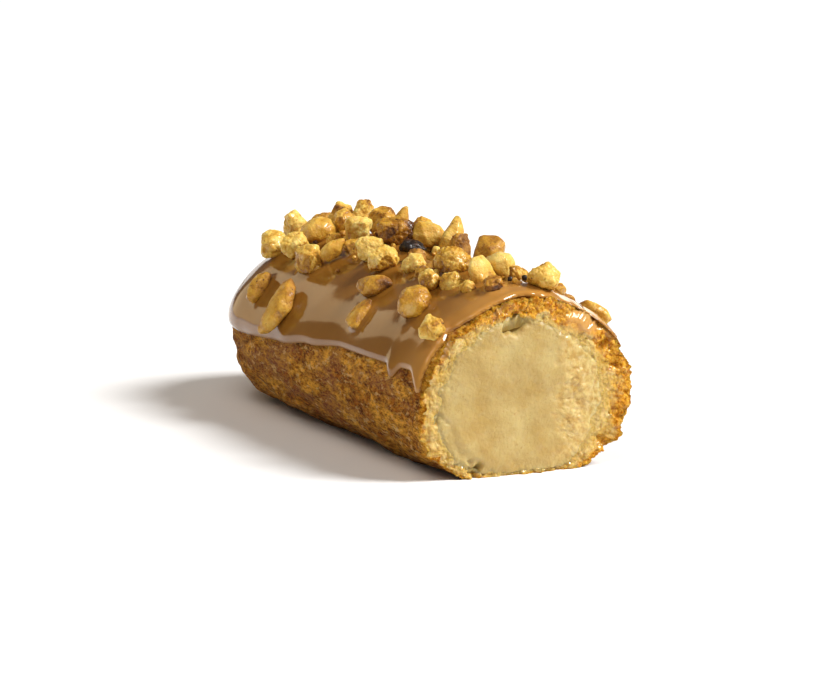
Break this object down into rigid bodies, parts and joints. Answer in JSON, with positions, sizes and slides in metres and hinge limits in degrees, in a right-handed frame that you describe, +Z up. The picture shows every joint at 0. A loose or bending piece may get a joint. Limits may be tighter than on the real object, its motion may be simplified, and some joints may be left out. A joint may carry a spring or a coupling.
{
  "type": "caramel eclair",
  "caption": "Choux eclair with its end cut off to show the cream filling, iced in glossy caramel brown and strewn with chopped nuts.",
  "frame": {"origin": "middle of the flat underside", "axes": "+X along the eclair towards its cut end, +Y across it, +Z up"},
  "size_m": [0.1148, 0.0542, 0.0453],
  "materials": {
    "choux": "matt baked crust",
    "cream": "soft satin",
    "icing": "high gloss",
    "nut_pale": "satin",
    "nut_golden": "satin",
    "nut_brown": "satin"
  },
  "bodies": {
    "root": {"choux_shell": "choux", "cream_filling": "cream", "icing": "icing", "nut_block_pale": "nut_pale", "nut_chunk_back_brown": "nut_brown", "nut_chunk_back_left": "nut_pale", "nut_chunk_back_pale": "nut_pale", "nut_chunk_brown": "nut_brown", "nut_chunk_cream": "nut_pale", "nut_chunk_dark": "nut_brown", "nut_chunk_front_pale": "nut_pale", "nut_chunk_golden": "nut_golden", "nut_chunk_ridge_cream": "nut_pale", "nut_chunk_ridge_end": "nut_pale", "nut_chunk_ridge_pale": "nut_pale", "nut_chunk_ridge_tan": "nut_golden", "nut_chunk_ridge_tan_low": "nut_pale", "nut_chunk_sparkling": "nut_pale", "nut_chunk_speckled": "nut_pale", "nut_cluster_crest": "nut_pale", "nut_cluster_olive": "nut_brown", "nut_crisp_pale": "nut_pale", "nut_crisp_speckled": "nut_pale", "nut_curved_brown": "nut_brown", "nut_curved_golden": "nut_golden", "nut_far_00": "nut_pale", "nut_far_01": "nut_golden", "nut_far_02": "nut_brown", "nut_far_03": "nut_pale", "nut_far_04": "nut_golden", "nut_far_05": "nut_golden", "nut_far_06": "nut_pale", "nut_far_07": "nut_brown", "nut_far_08": "nut_golden", "nut_far_09": "nut_pale", "nut_far_10": "nut_golden", "nut_far_11": "nut_golden", "nut_flake_burnt": "nut_brown", "nut_flake_pointed": "nut_golden", "nut_flake_seed": "nut_golden", "nut_flake_shoulder": "nut_golden", "nut_flake_standing": "nut_pale", "nut_half_long": "nut_golden", "nut_horn_golden": "nut_golden", "nut_knob_golden": "nut_golden", "nut_pyramid_tan": "nut_golden", "nut_round_glassy": "nut_brown", "nut_round_olive": "nut_golden", "nut_slab_brown": "nut_brown", "nut_spike_golden": "nut_golden", "nut_strip_tan": "nut_golden"}
  },
  "joints": []
}
